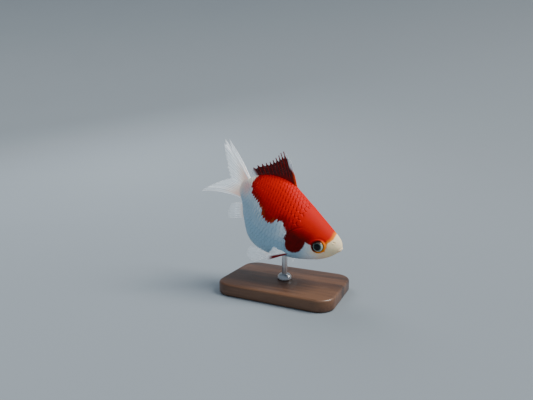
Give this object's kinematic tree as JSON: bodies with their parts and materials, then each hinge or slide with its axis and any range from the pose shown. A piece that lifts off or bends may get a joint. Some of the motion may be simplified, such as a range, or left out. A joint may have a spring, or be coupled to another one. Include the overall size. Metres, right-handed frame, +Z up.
{
  "type": "goldfish display model",
  "caption": "Life-size still model of a short, deep-bodied red and white goldfish with a double tail, swimming nose down on a plain stand.",
  "frame": {"origin": "centre of the stand base's flat underside", "axes": "+Z up; the fish's middle plane is the XZ plane, its head towards +X and nose down, its left side towards +Y"},
  "size_m": [0.0752, 0.04, 0.0762],
  "materials": {
    "red_skin": "satin",
    "white_skin": "satin",
    "red_fin": "satin",
    "clear_fin": "satin",
    "eye": "gloss",
    "stand_base": "satin",
    "stand_metal": "satin"
  },
  "bodies": {
    "root": {"head": "red_skin", "lower_jaw": "white_skin", "gill_cover_left": "red_skin", "gill_cover_right": "red_skin", "trunk": "red_skin", "tail_base": "white_skin", "eye_left": "eye", "eye_right": "eye", "dorsal_fin": "red_fin", "pectoral_fin_left": "clear_fin", "pectoral_fin_right": "clear_fin", "pelvic_fin_left": "clear_fin", "pelvic_fin_right": "clear_fin", "anal_fin_left": "clear_fin", "anal_fin_right": "clear_fin", "tail_fin_left_upper": "clear_fin", "tail_fin_left_lower": "clear_fin", "tail_fin_right_upper": "clear_fin", "tail_fin_right_lower": "clear_fin", "stand_base": "stand_base", "stand_collar": "stand_metal", "stand_rod": "stand_metal"}
  },
  "joints": []
}
